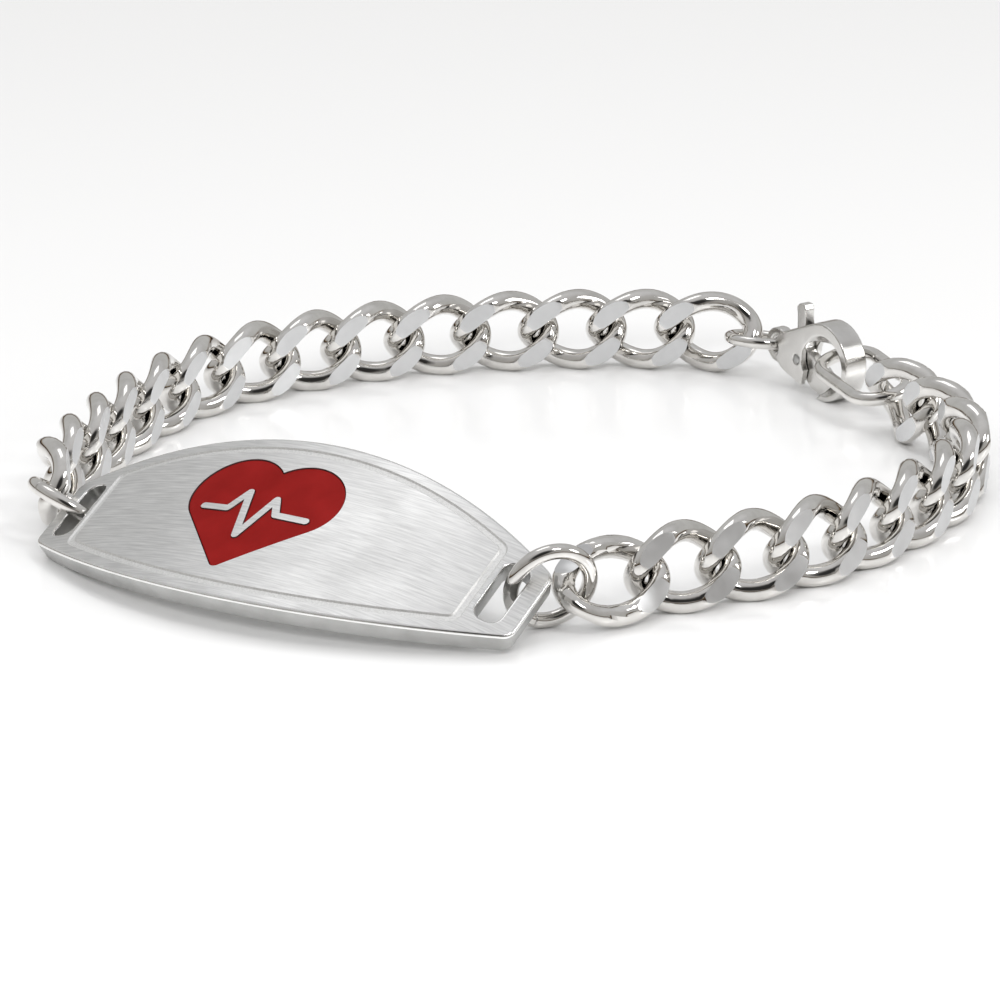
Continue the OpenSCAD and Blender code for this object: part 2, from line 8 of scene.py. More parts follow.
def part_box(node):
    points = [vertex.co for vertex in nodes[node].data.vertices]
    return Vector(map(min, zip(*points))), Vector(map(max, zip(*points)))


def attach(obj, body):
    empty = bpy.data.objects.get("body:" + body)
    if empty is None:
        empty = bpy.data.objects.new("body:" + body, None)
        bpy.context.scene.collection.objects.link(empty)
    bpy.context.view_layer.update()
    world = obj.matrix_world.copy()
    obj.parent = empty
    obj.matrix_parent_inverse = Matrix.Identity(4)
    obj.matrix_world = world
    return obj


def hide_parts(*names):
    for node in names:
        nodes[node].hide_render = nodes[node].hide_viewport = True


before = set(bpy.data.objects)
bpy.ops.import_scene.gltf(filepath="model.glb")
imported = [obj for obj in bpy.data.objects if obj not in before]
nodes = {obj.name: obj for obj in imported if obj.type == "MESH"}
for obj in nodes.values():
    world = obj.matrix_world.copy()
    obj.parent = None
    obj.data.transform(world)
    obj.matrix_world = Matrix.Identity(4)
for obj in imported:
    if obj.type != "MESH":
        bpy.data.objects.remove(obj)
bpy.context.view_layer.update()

mm = 0.001
scene = bpy.context.scene


def turnX(a):
    a = radians(a)
    return np.array([[1, 0, 0], [0, cos(a), -sin(a)], [0, sin(a), cos(a)]])


def turnY(a):
    a = radians(a)
    return np.array([[cos(a), 0, sin(a)], [0, 1, 0], [-sin(a), 0, cos(a)]])


def turnZ(a):
    a = radians(a)
    return np.array([[cos(a), -sin(a), 0], [sin(a), cos(a), 0], [0, 0, 1]])


def boxOf(name):
    low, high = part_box(name)
    return np.array(low) / mm, np.array(high) / mm


# Camera, as the photograph was taken: a long lens from the front, 18.5 degrees down
photoCamera = {"place": (-1.23, -370.45, 123.75), "down": 18.5, "lens": 180.7}

camData = bpy.data.cameras.new("photoCamera")
camData.lens = photoCamera["lens"]
camData.sensor_width = 36
camera = bpy.data.objects.new("photoCamera", camData)
camera.location = [v * mm for v in photoCamera["place"]]
camera.rotation_euler = (radians(90 - photoCamera["down"]), 0, 0)
camData.clip_start, camData.clip_end = 0.01, 20
scene.collection.objects.link(camera)
scene.camera = camera


# Shader helpers: a node by its type, with its inputs set or linked
def newMaterial(name):
    m = bpy.data.materials.new(name)
    m.use_nodes = True
    return m, m.node_tree, m.node_tree.nodes["Principled BSDF"]


def addNode(tree, kind, inputs=(), **settings):
    n = tree.nodes.new(kind)
    for k, v in settings.items():
        setattr(n, k, v)
    for k, v in dict(inputs).items():
        if isinstance(v, bpy.types.NodeSocket):
            tree.links.new(v, n.inputs[k])
        else:
            n.inputs[k].default_value = v
    return n


def ramp(tree, fac, low, high, a, b):
    return addNode(tree, "ShaderNodeMapRange", {0: fac, 1: low, 2: high, 3: a, 4: b}).outputs[0]


def colourRamp(tree, fac, stops):
    n = addNode(tree, "ShaderNodeValToRGB", {0: fac})
    while len(n.color_ramp.elements) < len(stops):
        n.color_ramp.elements.new(0.5)
    for e, (at, c) in zip(n.color_ramp.elements, stops):
        e.position, e.color = at, (*c, 1)
    return n.outputs[0]


def noise(tree, at, scale, detail=2, rough=0.5):
    inputs = {"Vector": at, "Scale": scale, "Detail": detail, "Roughness": rough}
    return addNode(tree, "ShaderNodeTexNoise", inputs).outputs[0]


def bump(tree, height, strength, distance):
    inputs = {"Height": height, "Strength": strength, "Distance": distance}
    return addNode(tree, "ShaderNodeBump", inputs).outputs[0]


def stretched(tree, at, scale):
    return addNode(tree, "ShaderNodeMapping", {"Vector": at, "Scale": scale}).outputs[0]


# Tone, roughness and bump go to the shader. What is the same all over is set on its own sockets
def dress(tree, shader, fac, stops, roughness=None, height=None):
    tree.links.new(colourRamp(tree, fac, stops), shader.inputs["Base Color"])
    if roughness:
        tree.links.new(ramp(tree, roughness[0], 0.3, 0.7, *roughness[1:]), shader.inputs["Roughness"])
    if height:
        tree.links.new(bump(tree, *height), shader.inputs["Normal"])


# Metals whose tone and roughness drift with one soft cloud: the two tones, smoothest and roughest,
# the cloud's scale and detail, and where there is a grain, its scale, strength and depth
cloudedMetals = {
    # the eased edge: low roughness from polishing, and a lighter tone that is a painted highlight
    "easedPolishPaintedHighlight": {"tones": ((0.84, 0.84, 0.83), (0.95, 0.95, 0.94)), "rough": (0.16, 0.24),
                    "cloud": (900, 2)},
    "groundFacet": {"tones": ((0.67, 0.675, 0.68), (0.78, 0.785, 0.79)), "rough": (0.32, 0.42),
                    "cloud": (420, 2)},
    "polishedWire": {"tones": ((0.69, 0.675, 0.65), (0.81, 0.795, 0.77)), "rough": (0.04, 0.08),
                     "cloud": (700, 3), "grain": (4200, 0.05, 0.00001)},
    "castPolish": {"tones": ((0.66, 0.65, 0.63), (0.78, 0.77, 0.75)), "rough": (0.16, 0.26),
                   "cloud": (500, 3), "grain": (2400, 0.2, 0.00002)},
}


def cloudedMetal(name):
    look = cloudedMetals[name]
    m, t, b = newMaterial(name)
    at = addNode(t, "ShaderNodeTexCoord").outputs["Object"]
    cloud = noise(t, at, *look["cloud"])
    b.inputs["Metallic"].default_value = 1
    height = None
    if "grain" in look:
        scale, strength, depth = look["grain"]
        height = (noise(t, at, scale), strength, depth)
    dress(t, b, cloud, list(zip((0.3, 0.7), look["tones"])), (cloud, *look["rough"]), height)
    return m


brushed = {
    "dark": (0.62, 0.62, 0.615),
    "light": (0.88, 0.88, 0.87),
    "strokes": (0.35, 6.0, 1),   # to the millimetre, along the plate and across it
    "hairlines": (1.1, 12, 1),
    "smoothest": 0.29,
    "roughest": 0.42,
}


def brushedSteel():
    m, t, b = newMaterial("brushedSteel")
    uv = addNode(t, "ShaderNodeUVMap", uv_map="along").outputs[0]
    strokes = noise(t, stretched(t, uv, brushed["strokes"]), 1.0, 4, 0.6)
    hairlines = noise(t, stretched(t, uv, brushed["hairlines"]), 1.0)
    cloud = noise(t, uv, 0.16, 3)
    both = addNode(t, "ShaderNodeMath", {0: strokes, 1: hairlines}, operation="ADD").outputs[0]
    b.inputs["Metallic"].default_value = 1
    b.inputs["Anisotropic"].default_value = 0.55
    dress(t, b, strokes, [(0.3, brushed["dark"]), (0.7, brushed["light"])],
          (cloud, brushed["smoothest"], brushed["roughest"]), (both, 0.35, 0.00002))
    tangent = addNode(t, "ShaderNodeTangent", direction_type="UV_MAP", uv_map="along").outputs[0]
    t.links.new(tangent, b.inputs["Tangent"])
    return m


def edgeSteel():   # the plate's walls and the hinge pin: darker, with a fine grain. On the walls the darker tone is painted shade, as they face down towards the floor
    m, t, b = newMaterial("edgeSteel")
    at = addNode(t, "ShaderNodeTexCoord").outputs["Object"]
    grain = noise(t, at, 5200, 3, 0.6)
    b.inputs["Metallic"].default_value = 1
    dress(t, b, noise(t, at, 420), [(0.3, (0.45, 0.45, 0.44)), (0.7, (0.56, 0.56, 0.55))],
          (grain, 0.3, 0.42), (grain, 0.25, 0.00001))
    return m


def etchedLine():   # fine matt stipple, which catches the light from everywhere
    m, t, b = newMaterial("etchedLine")
    at = addNode(t, "ShaderNodeTexCoord").outputs["Object"]
    grain = noise(t, at, 7000, 2, 0.6)
    b.inputs["Metallic"].default_value = 0.92
    b.inputs["Roughness"].default_value = 0.52
    dress(t, b, grain, [(0.35, (0.78, 0.78, 0.77)), (0.6, (0.90, 0.90, 0.89))], height=(grain, 0.2, 0.00001))
    return m


def redEnamel():
    m, t, b = newMaterial("redEnamel")
    at = addNode(t, "ShaderNodeTexCoord").outputs["Object"]
    grain = noise(t, at, 2600, 3, 0.6)
    b.inputs["Specular IOR Level"].default_value = 0.04
    dress(t, b, noise(t, at, 380, 3), [(0.3, (0.20, 0.006, 0.005)), (0.7, (0.25, 0.009, 0.008))],
          (grain, 0.3, 0.42), (grain, 0.15, 0.00002))
    return m


def recessDark():   # the shadow line round the enamel
    m, t, b = newMaterial("recessDark")
    at = addNode(t, "ShaderNodeTexCoord").outputs["Object"]
    b.inputs["Roughness"].default_value = 0.6
    dress(t, b, noise(t, at, 900), [(0.3, (0.05, 0.02, 0.02)), (0.7, (0.10, 0.05, 0.05))])
    return m


# The eased edge is smoother from the polishing wheel, and its lighter tone is a painted highlight line along
# the plate's top edge. The ground faces are satin, bluer than the wire
steelFace, steelEdge, frameLine = brushedSteel(), edgeSteel(), etchedLine()
enamelRed, darkRecess = redEnamel(), recessDark()
steelEased, facetSteel, wireSteel, castSteel = (cloudedMetal(name) for name in cloudedMetals)
print("materials made")


# A mesh in millimetres becomes a piece at the origin that rides on its body
def makePiece(name, points, faces, materials, replaced, picks=None, uv=None, sharp=35, weld=0.0):
    mesh = bpy.data.meshes.new(name)
    mesh.from_pydata([tuple(float(v) * mm for v in p) for p in points], [], [tuple(f) for f in faces])
    for m in materials:
        mesh.materials.append(m)
    if picks is not None:
        mesh.polygons.foreach_set("material_index", picks)
    if uv is not None:
        layer = mesh.uv_layers.new(name="along")
        corner = np.empty(len(mesh.loops), np.int32)
        mesh.loops.foreach_get("vertex_index", corner)
        layer.data.foreach_set("uv", np.asarray(uv, np.float32)[corner].ravel())
    b = bmesh.new()
    b.from_mesh(mesh)
    if weld:
        bmesh.ops.remove_doubles(b, verts=b.verts, dist=weld * mm)
    bmesh.ops.dissolve_degenerate(b, edges=b.edges, dist=1e-9)
    bmesh.ops.recalc_face_normals(b, faces=b.faces)
    b.to_mesh(mesh)
    b.free()
    mesh.shade_smooth()
    mesh.set_sharp_from_angle(angle=radians(sharp))
    return finishPiece(name, mesh, replaced, "bracelet")


def finishPiece(name, mesh, replaced, body):
    piece = bpy.data.objects.new(name, mesh)
    scene.collection.objects.link(piece)
    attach(piece, body)
    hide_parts(*replaced)
    return piece


# The identification plate and its emblem, drawn flat and laid on the plate's curve
plate = {
    "length": 43.0, "width": 17.2, "endWidth": 6.6, "thickness": 1.7, "curve": 58.8, "corner": 1.1,
    "endBar": 1.45, "slotLength": 5.8, "slotWidth": 2.1, "slotCorner": 0.9,
    "easedEdge": 0.24, "easedSlot": 0.14, "support": 0.08,   # a loop inside each edge keeps the face flat
    "frameInset": 1.05, "frameWidth": 0.5, "frameDepth": 0.12, "frameSlotMargin": 0.5,
    "frameCorner": 1.0, "frameInnerCorner": 0.6, "frameSlope": 0.06,
    "turn": 31.8, "lean": 65.1, "slope": 0.56, "place": (-17.63, -24.1),
}
emblem = {
    "offset": 2.1, "side": 7.5, "tip": 0.5, "recess": 0.35, "below": 0.07, "gap": 0.03,
    "wall": 0.03, "eased": 0.06, "support": 0.16,
    "pulseWidth": 0.62, "pulseHeight": 2.6, "pulseLevel": 0.4, "pulseReach": 4.5, "pulseSupport": 0.14,
    # the heartbeat's bends: along, and up as a share of its height
    "pulseBends": ((-2.4, 0), (-1.5, 0.75), (-0.1, -1), (1.1, 0.6), (1.9, 0)),
}
faceTop, faceWall, faceLine, faceBack, faceRecess, faceEased = range(6)   # the plate's materials
plateMaterials = [steelFace, steelEdge, frameLine, steelFace, darkRecess, steelEased]

curveR = plate["curve"]
halfChord = curveR * sin(plate["length"] / 2 / curveR)
sideRise = (plate["width"] - plate["endWidth"]) / 2
sideR = (halfChord ** 2 + sideRise ** 2) / (2 * sideRise)
sideCentre = sideR - plate["width"] / 2
slotPlace = plate["length"] / 2 - plate["endBar"] - plate["slotWidth"] / 2
plateTurned = turnZ(-plate["turn"]) @ turnY(-plate["slope"]) @ turnX(90 - plate["lean"])


def arc(cx, cy, r, a, b, n):
    return [(cx + r * cos(a + (b - a) * i / n), cy + r * sin(a + (b - a) * i / n)) for i in range(n)]


def bowedLoop(inset, halfLength, corner):
    cx = halfLength - corner
    cy = sqrt((sideR - inset - corner) ** 2 - cx ** 2) - sideCentre
    a = atan2(cy + sideCentre, cx)
    quarter = [(halfLength, cy * i / 8) for i in range(8)]
    quarter += [(cx + corner * cos(a * i / 12), cy + corner * sin(a * i / 12)) for i in range(12)]
    quarter += [((sideR - inset) * cos(b), (sideR - inset) * sin(b) - sideCentre)
                for b in np.linspace(a, pi / 2, 60)[:-1]]
    quarter.append((0, sideR - inset - sideCentre))
    upper = quarter + [(-x, y) for x, y in quarter[-2::-1]]
    return upper + [(x, -y) for x, y in upper[-2:0:-1]]


def outerLoop(inset):
    return bowedLoop(inset, halfChord - inset, plate["corner"] - inset)


def slotLoop(side, out):
    w, h, r = plate["slotWidth"] / 2 + out, plate["slotLength"] / 2 + out, plate["slotCorner"] + out
    loop = []
    for cx, cy, a in ((w - r, h - r, 0), (r - w, h - r, 90), (r - w, r - h, 180), (w - r, r - h, 270)):
        loop += [(cx + r * cos(radians(a + 7.5 * i)), cy + r * sin(radians(a + 7.5 * i))) for i in range(13)]
        if a in (90, 270):   # points along the long sides too
            onward = -1 if a == 90 else 1
            x = cx + r * cos(radians(a + 90))
            loop += [(x, cy + onward * 2 * (h - r) * i / 9) for i in range(1, 9)]
    return [(curveR * sin((side * slotPlace + x) / curveR), y) for x, y in loop]


# A heart: its right half from the tip up the straight side and over the lobe, then its mirror image
def heartLoop(inset):
    side, tip = emblem["side"], emblem["tip"]
    r, tipR = side / 2 - inset, tip - inset
    low = -side * 0.78
    lobe = (side / 4 * sqrt(2), low + side * 0.75 * sqrt(2))
    tipAt = (0, low + tip * sqrt(2))
    notch = asin(min(1, lobe[0] / r))
    x0, y0 = tipR * sqrt(0.5), tipAt[1] - tipR * sqrt(0.5)
    x1, y1 = lobe[0] + r * cos(-pi / 4), lobe[1] + r * sin(-pi / 4)
    n = 40
    right = arc(*tipAt, tipR, -pi / 2, -pi / 4, 6)
    right += [(x0 + (x1 - x0) * i / n, y0 + (y1 - y0) * i / n) for i in range(n)]
    right += arc(*lobe, r, -pi / 4, pi / 2 + notch, 84)
    top = (0, lobe[1] + sqrt(r ** 2 - lobe[0] ** 2))
    left = [(-x, y) for x, y in right[:0:-1]]
    return [(x - emblem["offset"], y) for x, y in right + [top] + left]


# The heartbeat line: a band of even width round a broken line, out and back
def pulseLoop(out):
    h, w = emblem["pulseHeight"], emblem["pulseWidth"] / 2 + out
    y, reach = emblem["pulseLevel"], emblem["pulseReach"]
    line = [(-reach, y)] + [(x, y + up * h) for x, up in emblem["pulseBends"]] + [(reach, y)]
    loop = []
    way = line + line[-2:0:-1]
    n = len(way)
    for i in range(n):
        p0, p1, p2 = (Vector(way[(i + k) % n]) for k in (-1, 0, 1))
        d0, d1 = (p1 - p0).normalized(), (p2 - p1).normalized()
        n0, n1 = Vector((d0.y, -d0.x)), Vector((d1.y, -d1.x))
        turn = atan2(d0.x * d1.y - d0.y * d1.x, d0.dot(d1))
        if abs(abs(turn) - pi) < 1e-6:
            turn = pi
        if turn > 0:   # outer side of the bend: an arc round the point
            a = atan2(n0.y, n0.x)
            steps = max(2, int(turn * emblem["pulseWidth"] / 0.16))
            bend = [a + turn * j / steps for j in range(steps + 1)]
            loop += [(p1.x + w * cos(b), p1.y + w * sin(b)) for b in bend]
        else:
            mid = (n0 + n1).normalized()
            q = p1 + mid * (w / mid.dot(n0))
            loop.append((q.x, q.y))
    return [(x - emblem["offset"], y) for x, y in loop]


def insideLoop(points, loop):
    points, loop = np.asarray(points), np.asarray(loop)
    odd = np.zeros(len(points), bool)
    x, y = points[:, 0], points[:, 1]
    for (x0, y0), (x1, y1) in zip(loop, np.roll(loop, -1, 0)):
        if y0 != y1:
            odd ^= ((y0 > y) != (y1 > y)) & (x < (x1 - x0) * (y - y0) / (y1 - y0) + x0)
    return odd


# One face of a curved slab: loops with their depths, and points between them to follow the curve
def triangulate(outer, holes, features, depthAt, spacing):
    loops = [outer] + holes + features
    flat, depth, edges = [], [], []
    for loop, d in loops:
        n = len(flat)
        flat += loop
        depth += [d] * len(loop)
        edges += [(n + k, n + (k + 1) % len(loop)) for k in range(len(loop))]
    rim = np.array(flat)
    low, high = rim.min(0), rim.max(0)
    across, up = (np.arange(low[k], high[k], spacing) for k in (0, 1))
    grid = np.array([(x, y) for x in across for y in up])
    keep = insideLoop(grid, outer[0])
    for loop, d in holes:
        keep &= ~insideLoop(grid, loop)
    grid = grid[keep]
    near = np.array([((rim - g) ** 2).sum(1).min() for g in grid])
    grid = grid[near > (0.4 * spacing) ** 2]
    flat += [tuple(g) for g in grid]
    depth += list(depthAt(grid))
    made, _, faces, came, _, _ = delaunay_2d_cdt([Vector(p) for p in flat], edges, [], 0, 1e-7)
    made = np.array([(v.x, v.y) for v in made])
    depths = np.array([depth[c[0]] if c else 0.0 for c in came])
    faces = np.array([f for f in faces if len(f) == 3])
    middle = made[faces].mean(1)
    keep = insideLoop(middle, outer[0])
    for loop, d in holes:
        keep &= ~insideLoop(middle, loop)
    return made, depths, faces[keep], middle[keep]


easedSteps = 4   # loops in an eased edge


# A closed slab on the plate's curve, with its walls drawn through the profiles' loops
def curvedSlab(outer, holes, topFeatures, bottomFeatures, depthAt, pickTop, spacing=0.9):
    flat, depth, faces, picks = [], [], [], []

    def take(made, depths, tris, kind):
        n = len(flat)
        flat.extend(map(tuple, made))
        depth.extend(depths)
        faces.extend([tuple(int(v) + n for v in f) for f in tris])
        picks.extend(kind)

    made, depths, tris, middle = triangulate(outer[0], [h[0] for h in holes], topFeatures, depthAt, spacing)
    take(made, depths, tris, pickTop(middle))
    bottom = outer[-1][1]
    made, depths, tris, middle = triangulate(outer[-1], [h[-1] for h in holes], bottomFeatures,
                                             lambda p: np.full(len(p), bottom), spacing)
    take(made, depths, tris, [faceBack] * len(tris))
    for profile in [outer] + holes:
        for step, ((a, da), (b, db)) in enumerate(zip(profile, profile[1:])):
            n, k = len(flat), len(a)
            flat.extend(a + b)
            depth.extend([da] * k + [db] * k)
            for q in range(k):
                r = (q + 1) % k
                faces.append((n + q, n + r, n + k + r, n + k + q))
                picks.append(faceEased if step < easedSteps else faceWall)
    return np.array(flat), np.array(depth), faces, picks


plateAt = np.array([plate["place"][0], plate["place"][1], 0.0])


def onPlate(flat, depth):
    a = np.arcsin(flat[:, 0] / curveR)
    p = np.stack([(curveR - depth) * np.sin(a), flat[:, 1], (curveR - depth) * np.cos(a) - curveR], 1)
    return p @ plateTurned.T + plateAt


# A wall's loops from top to bottom, with a quarter round at each end
def easedProfile(loopAt, top, bottom, depth0, depth1, steps=easedSteps):
    turns = [radians(90 * k / steps) for k in range(steps + 1)]
    rows = [(loopAt(top * (1 - sin(a))), depth0 + top * (1 - cos(a))) for a in turns]
    return rows + [(loopAt(bottom * (1 - cos(a))), depth1 - bottom * (1 - sin(a))) for a in turns]


def buildPlate():
    t, line, slope = plate["thickness"], plate["frameDepth"], plate["frameSlope"]
    inset, corner = plate["frameInset"], plate["frameCorner"]
    innerInset, innerCorner = inset + plate["frameWidth"], plate["frameInnerCorner"]
    frameEnd = curveR * sin((slotPlace - plate["slotWidth"] / 2 - plate["frameSlotMargin"]) / curveR)
    innerEnd = frameEnd - plate["frameWidth"]
    frameOut = bowedLoop(inset - slope, frameEnd + slope, corner + slope)
    frameOutLow = bowedLoop(inset + slope, frameEnd - slope, corner - slope)
    frameInLow = bowedLoop(innerInset - slope, innerEnd + slope, innerCorner + slope)
    frameIn = bowedLoop(innerInset + slope, innerEnd - slope, innerCorner - slope)
    heartTop, heartLow = heartLoop(-emblem["wall"]), heartLoop(0.0)
    pulseTop, pulseLow = pulseLoop(-0.01), pulseLoop(0.0)
    e, es = plate["easedEdge"], plate["easedSlot"]
    outer = easedProfile(outerLoop, e, e, 0.0, t)
    holes = [easedProfile(lambda v, side=side: slotLoop(side, v), es, es, 0.0, t) for side in (-1, 1)]
    beside = plate["support"]
    support = [(outerLoop(e + beside), 0.0)] + [(slotLoop(side, es + beside), 0.0) for side in (-1, 1)]
    features = support + [(frameOut, 0.0), (frameOutLow, line), (frameInLow, line), (frameIn, 0.0),
                          (heartTop, 0.0), (heartLow, emblem["recess"]),
                          (pulseTop, 0.0), (pulseLow, emblem["recess"])]
    bottomFeatures = [(loop, t) for loop, _ in support]

    def byZone(p, plain, onLine, inHeart):
        values = np.full(len(p), plain)
        values[insideLoop(p, frameOut) & ~insideLoop(p, frameIn)] = onLine
        values[insideLoop(p, heartTop) & ~insideLoop(p, pulseTop)] = inHeart
        return list(values)

    def depthAt(p):
        return byZone(p, 0.0, line, emblem["recess"])

    def pickTop(p):
        return byZone(p, faceTop, faceLine, faceRecess)

    flat, depth, faces, picks = curvedSlab(outer, holes, features, bottomFeatures, depthAt, pickTop)
    points = onPlate(flat, depth)
    plateAt[2] = boxOf("id_plate")[0][2] - points[:, 2].min()
    points[:, 2] += plateAt[2]
    uv = np.stack([curveR * np.arcsin(flat[:, 0] / curveR), flat[:, 1]], 1)
    return makePiece("identification_plate", points, faces, plateMaterials, ["id_plate"], picks, uv,
                     weld=0.0004)


def buildEnamel():
    g, top, low = emblem["gap"], emblem["below"], emblem["recess"] - emblem["gap"]
    eased = emblem["eased"]
    outer = easedProfile(lambda v: heartLoop(g + v), eased, 0.0, top, low, 3)[:5]
    holes = [easedProfile(lambda v: pulseLoop(g + v), eased, 0.0, top, low, 3)[:5]]
    features = [(heartLoop(g + emblem["support"]), top), (pulseLoop(g + emblem["pulseSupport"]), top)]
    flat, depth, faces, _ = curvedSlab(outer, holes, features, [], lambda p: np.full(len(p), top),
                                       lambda p: [0] * len(p), 0.8)
    return makePiece("enamel_heart", onPlate(flat, depth), faces, [enamelRed], ["emblem_enamel"],
                     sharp=40, weld=0.0004)


plateFaces = buildPlate()
enamelHeart = buildEnamel()
print("plate", len(plateFaces.data.polygons), "enamel", len(enamelHeart.data.polygons))

# Round wire bent along a flat closed path. A ring also shows the joint where its ends meet
rings = {
    "diameter": 7.2, "wire": 1.15,
    "rightTilt": 107, "rightTurn": 20, "leftTilt": 35, "leftTurn": 117, "leftContact": 8,
    "claspDiameter": 5.8, "claspWire": 0.95, "claspTilt": 10,
    # where the wire's ends meet, in degrees round the ring, and the joint's depth and width
    "rightJoint": 250, "leftJoint": 100, "claspJoint": 210, "jointDepth": 0.1, "jointWidth": 0.014,
}


def wireLoop(name, path, outward, radii, turned, place, replaced):
    path, outward = np.array(path), np.array(outward)
    sides, n = 28, len(path)
    a = np.linspace(0, 2 * pi, sides, endpoint=False)
    up = np.array([0, 0, 1.0])
    rows = [c + r * (np.outer(np.cos(a), o) + np.outer(np.sin(a), up))
            for c, o, r in zip(path, outward, radii)]
    points = np.concatenate(rows) @ turned.T + place
    faces = []
    for i in range(n):
        here, onward = i * sides, (i + 1) % n * sides
        for k in range(sides):
            m = (k + 1) % sides
            faces.append((here + k, here + m, onward + m, onward + k))
    return makePiece(name, points, faces, [wireSteel], [replaced], sharp=60)


def jumpRing(name, node, diameter, wire, tilt, turn, jointAt):
    low, high = boxOf(node)
    turned = turnZ(turn) @ turnX(tilt)
    a = np.unique(np.concatenate([np.linspace(0, 2 * pi, 120, endpoint=False),
                                  (radians(jointAt) + np.linspace(-0.06, 0.06, 13)) % (2 * pi)]))
    away = np.abs((a - radians(jointAt) + pi) % (2 * pi) - pi)
    radii = wire / 2 * (1 - rings["jointDepth"] * np.exp(-(away / rings["jointWidth"]) ** 2))
    out = np.stack([np.cos(a), np.sin(a), 0 * a], 1)
    return wireLoop(name, out * (diameter - wire) / 2, out, radii, turned, (low + high) / 2, node)


ringRightMid = sum(boxOf("jump_ring_right")) / 2
ringLeftMid = sum(boxOf("jump_ring_left")) / 2
ringRadius = (rings["diameter"] - rings["wire"]) / 2
for side in ("right", "left"):
    tilt, turn, jointAt = (rings[side + key] for key in ("Tilt", "Turn", "Joint"))
    jumpRing("ring_" + side, "jump_ring_" + side, rings["diameter"], rings["wire"], tilt, turn, jointAt)
print("jump rings made")

# The chain's way over the surface, piece by piece, as the solids take it
chain = {
    "width": 6.9, "wire": 1.68, "thickness": 2.7, "pitch": 5.75, "gap": 0.18, "play": 0.5, "twist": 43,
    "firstRoll": (92, 37, 10), "firstRise": 4, "firstBack": 0.06,
    "lean": 14, "leanLinks": 7, "lastLean": 10, "lastLeanLinks": 4, "beforeClasp": 11, "count": 25,
}
clasp = {
    "endLength": 11, "endWidth": 6, "endWire": 1.2, "endTilt": -12, "endLift": 0.8, "endFarLift": 0.1,
    "endEase": 0.03,   # off the wire's radius, so that the open lever passes it
    "play": 0.3, "hollow": 1.75, "hollowX": 0.15, "eye": 6.6, "eyeHole": 0.85, "pin": 0.4, "thickness": 2.2,
    # how finely the cast pieces are tumbled round, and in how many passes
    "shell": (0.07, 8), "lever": (0.05, 6),
}
way = [
    (11.67, -26), (17.77, -23.3), (22.87, -19.7), (27.17, -15.4), (31.97, -8.7), (34.87, -1.9),
    (35.47, 4.5), (33.27, 10.9), (30.27, 16.9), (27.87, 22.4), (25.07, 28.4), (20.27, 32.9), (12.77, 34.8),
    (2.77, 34.6), (-7.23, 32.9), (-16.23, 28.9), (-23.73, 23.4), (-28.73, 15.9), (-31.73, 8.4),
    (-33.83, 0.9), (-35.33, -4.8),
]
wayMid = np.array([0.27, 3.9])   # the way is scaled about this point

count, before = chain["count"], chain["beforeClasp"]
reach = ringRadius - (rings["wire"] + chain["play"]) / 2
departure, contact = radians(rings["rightTurn"]), radians(rings["leftContact"])
wayStart = ringRightMid[:2] + reach * np.array([cos(departure), sin(departure)])
wayEnd = (ringLeftMid + turnZ(rings["leftTurn"]) @ turnX(rings["leftTilt"])
          @ np.array([reach * cos(contact), reach * sin(contact), 0]))[:2]


def linkTakes(n):   # a link beside a ring or the end link has more play
    return chain["pitch"] - ((chain["play"] - chain["gap"]) / 2 if n in (1, before, before + 1, count) else 0)


hookRoom = clasp["hollow"] - (clasp["endWire"] + clasp["play"]) / 2
hookBearing = clasp["hollowX"] + sqrt(hookRoom ** 2 - clasp["endLift"] ** 2) + clasp["endWire"] / 2
eyeBearing = -clasp["eye"] - clasp["eyeHole"] + clasp["play"] / 2
slack = (chain["play"] + clasp["play"]) / 2
runs = ([linkTakes(n) for n in range(1, before + 1)]
        + [clasp["endLength"] - 2 * clasp["endWire"] - slack, hookBearing - eyeBearing,
           rings["claspDiameter"] - 2 * rings["claspWire"] - slack]
        + [linkTakes(n) for n in range(before + 1, count + 1)])
starts = np.concatenate([[0], np.cumsum(runs)])


def smoothWay(scale):
    q = np.array([wayStart] + [wayMid + scale * (np.array(p) - wayMid) for p in way] + [wayEnd])
    q = np.concatenate([[2 * q[0] - q[1]], q, [2 * q[-1] - q[-2]]])
    line = []
    for i in range(1, len(q) - 2):
        a, b, c, d = q[i - 1:i + 3]
        linear, square, cube = c - a, 2 * a - 5 * b + 4 * c - d, 3 * b - a - 3 * c + d
        for t in np.arange(10) / 10:
            line.append(0.5 * (2 * b + linear * t + square * t ** 2 + cube * t ** 3))
    return np.array(line + [q[-2]])


def travelled(line):
    return np.concatenate([[0], np.cumsum(np.linalg.norm(np.diff(line, axis=0), axis=1))])


small, large = 0.8, 1.25   # the way is scaled until the chain just fits it
for _ in range(16):
    middle = (small + large) / 2
    if travelled(smoothWay(middle))[-1] < starts[-1]:
        small = middle
    else:
        large = middle
line = smoothWay((small + large) / 2)
along = travelled(line)


def wayAt(s):
    return np.array([np.interp(s, along, line[:, 0]), np.interp(s, along, line[:, 1])])


def runMid(i):
    return (wayAt(starts[i]) + wayAt(starts[i + 1])) / 2


def runHeading(i):
    d = wayAt(starts[i + 1]) - wayAt(starts[i])
    return degrees(atan2(d[1], d[0]))


print("the chain's way is", round(starts[-1], 2), "mm long, from ring to ring")


# Curb link in Geometry Nodes: a grid rolled into an oval of round wire, twisted, ground flat on both sides
linkSizes = {
    "Half Length": (chain["pitch"] + chain["wire"] + chain["gap"]) / 2 * mm,
    "Half Width": (chain["width"] - chain["wire"]) / 2 * mm,
    "Wire Radius": chain["wire"] / 2 * mm,
    "Half Thickness": chain["thickness"] / 2 * mm,
    "Twist": radians(chain["twist"]),
    "Roll At Ring": 0.0,
    "Roll At Middle": 0.0,
    "Roll At Far End": 0.0,
}


